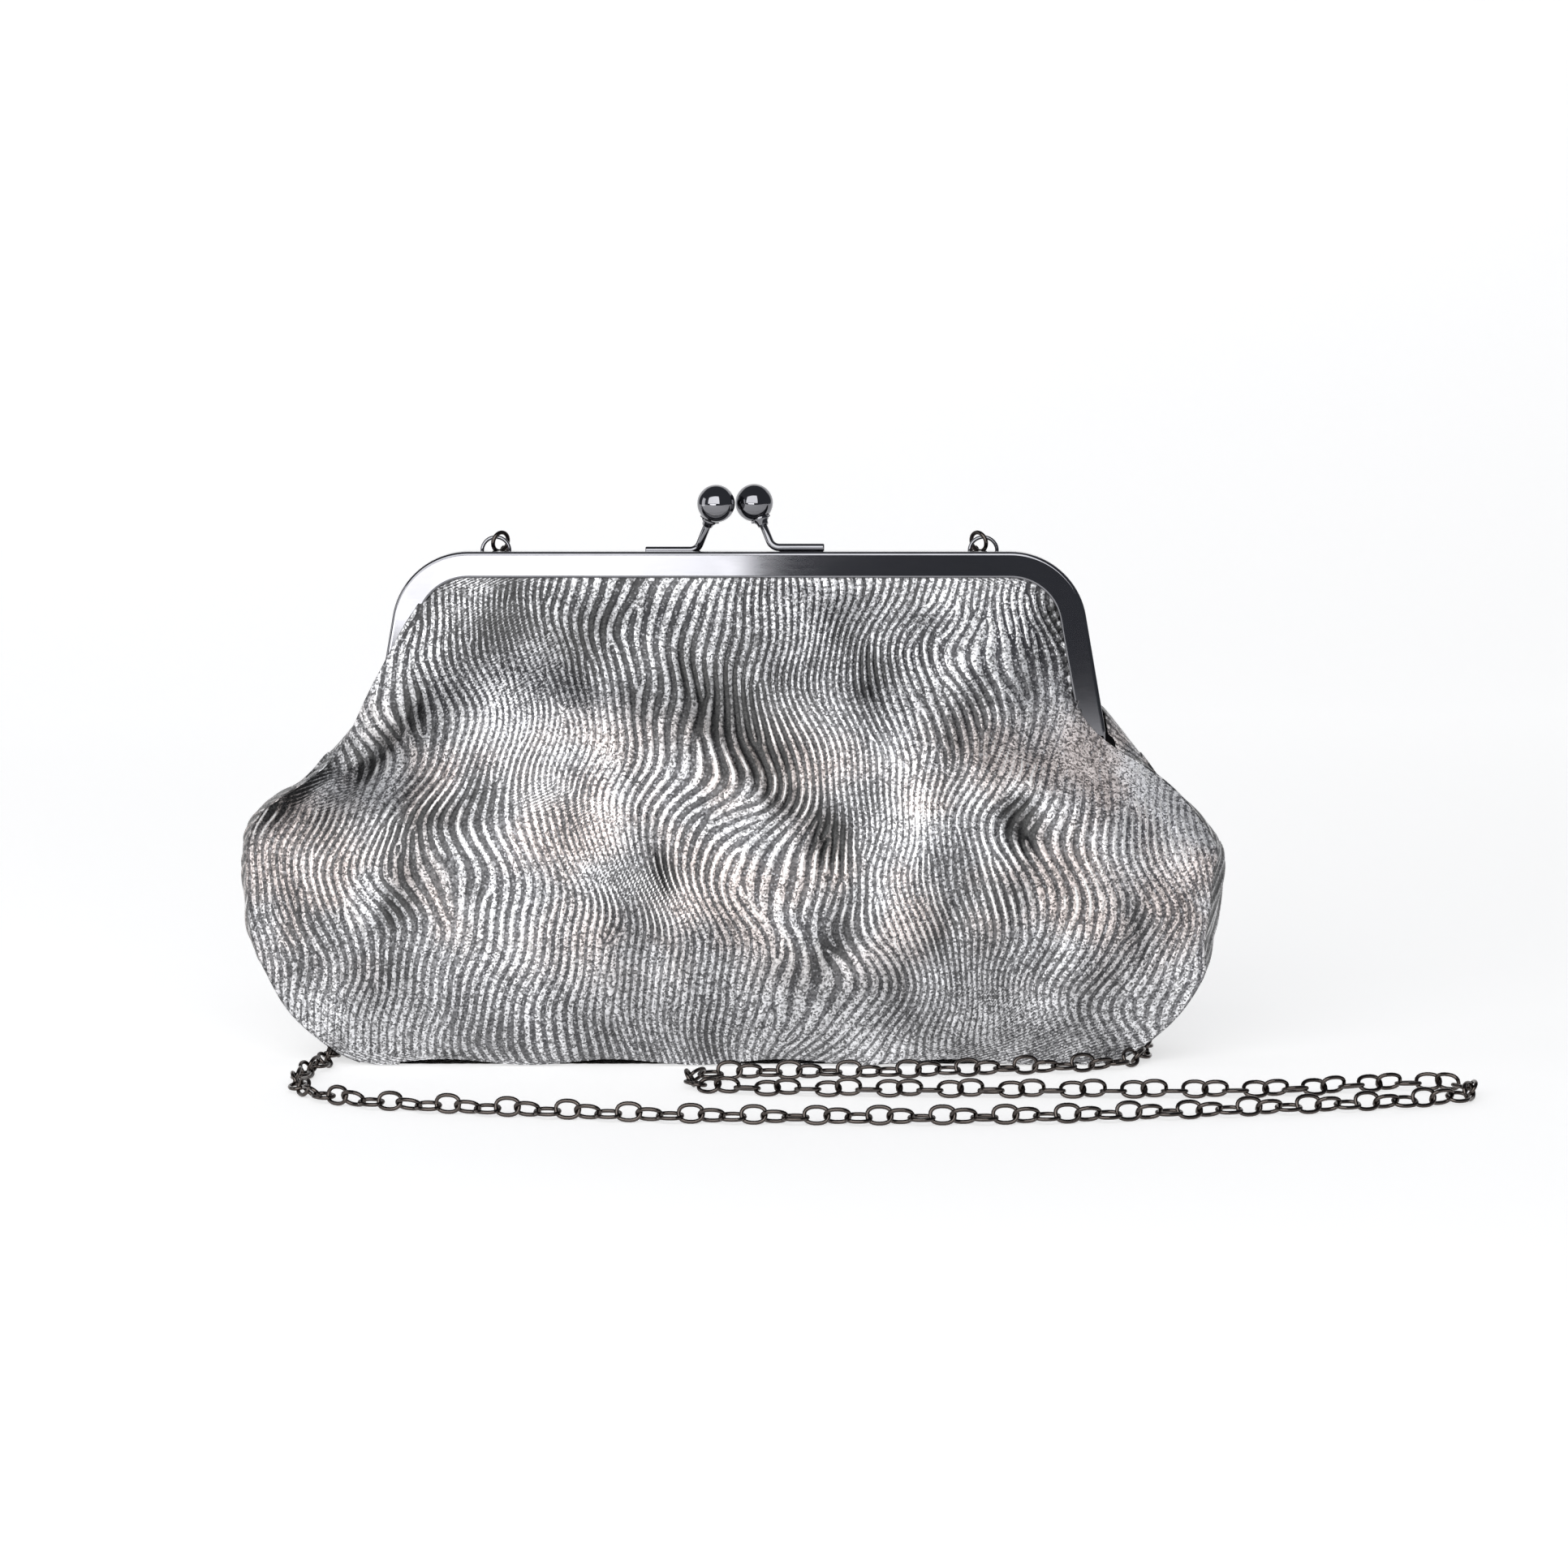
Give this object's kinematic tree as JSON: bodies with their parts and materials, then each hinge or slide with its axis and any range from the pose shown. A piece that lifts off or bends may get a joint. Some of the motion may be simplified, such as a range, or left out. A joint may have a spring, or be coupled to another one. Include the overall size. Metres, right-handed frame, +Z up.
{
  "type": "evening bag",
  "caption": "Soft striped glitter evening bag on a gunmetal kiss-lock frame, standing, with its chain strap lying round it.",
  "frame": {"origin": "middle of the flat base that the bag stands on", "axes": "+Z up, +X along the bag's width to the right seen from the front, the front faces -Y"},
  "size_m": [0.337, 0.1516, 0.1613],
  "materials": {
    "gunmetal": "polished black nickel",
    "chain_metal": "polished gunmetal",
    "glitter_fabric": "silver glitter stripes on dark grey",
    "satin_lining": "dark satin",
    "fleece": "soft fleece",
    "card": "plain grey-brown card",
    "twisted_paper": "twisted kraft paper"
  },
  "bodies": {
    "bag": {"back_frame": "gunmetal", "hinge_rivet_left": "gunmetal", "hinge_rivet_right": "gunmetal", "back_lock_post": "gunmetal", "back_lock_collar": "gunmetal", "back_lock_ball": "gunmetal", "chain_bail_left": "gunmetal", "chain_bail_right": "gunmetal", "chain_strap": "chain_metal", "front_panel_lower": "glitter_fabric", "back_panel": "glitter_fabric", "gusset": "glitter_fabric", "front_wadding": "fleece", "back_wadding": "fleece", "front_lining_lower": "satin_lining", "back_lining": "satin_lining", "gusset_lining": "satin_lining", "back_channel_cord": "twisted_paper", "base_board": "card"},
    "front_frame_half": {"front_frame": "gunmetal", "front_lock_post": "gunmetal", "front_lock_collar": "gunmetal", "front_lock_ball": "gunmetal", "front_channel_cord": "twisted_paper", "front_panel_upper": "glitter_fabric", "front_lining_upper": "satin_lining"},
    "left_ring": {"jump_ring_left": "chain_metal"},
    "right_ring": {"jump_ring_right": "chain_metal"}
  },
  "joints": [
    {"name": "frame_open", "type": "hinge", "parent": "bag", "child": "front_frame_half", "pos_m": [0, 0, 0.087], "axis": [1, 0, 0], "range_deg": [0, 70], "deforming": ["front_panel_upper", "front_lining_upper"]},
    {"name": "ring_left_swing", "type": "hinge", "parent": "bag", "child": "left_ring", "pos_m": [-0.0676, 0.0043, 0.14607], "axis": [0.9668, 0, -0.2557], "range_deg": [0, 12]},
    {"name": "ring_right_swing", "type": "hinge", "parent": "bag", "child": "right_ring", "pos_m": [0.0676, 0.0043, 0.14607], "axis": [0.9668, 0, 0.2557], "range_deg": [0, 12]}
  ]
}
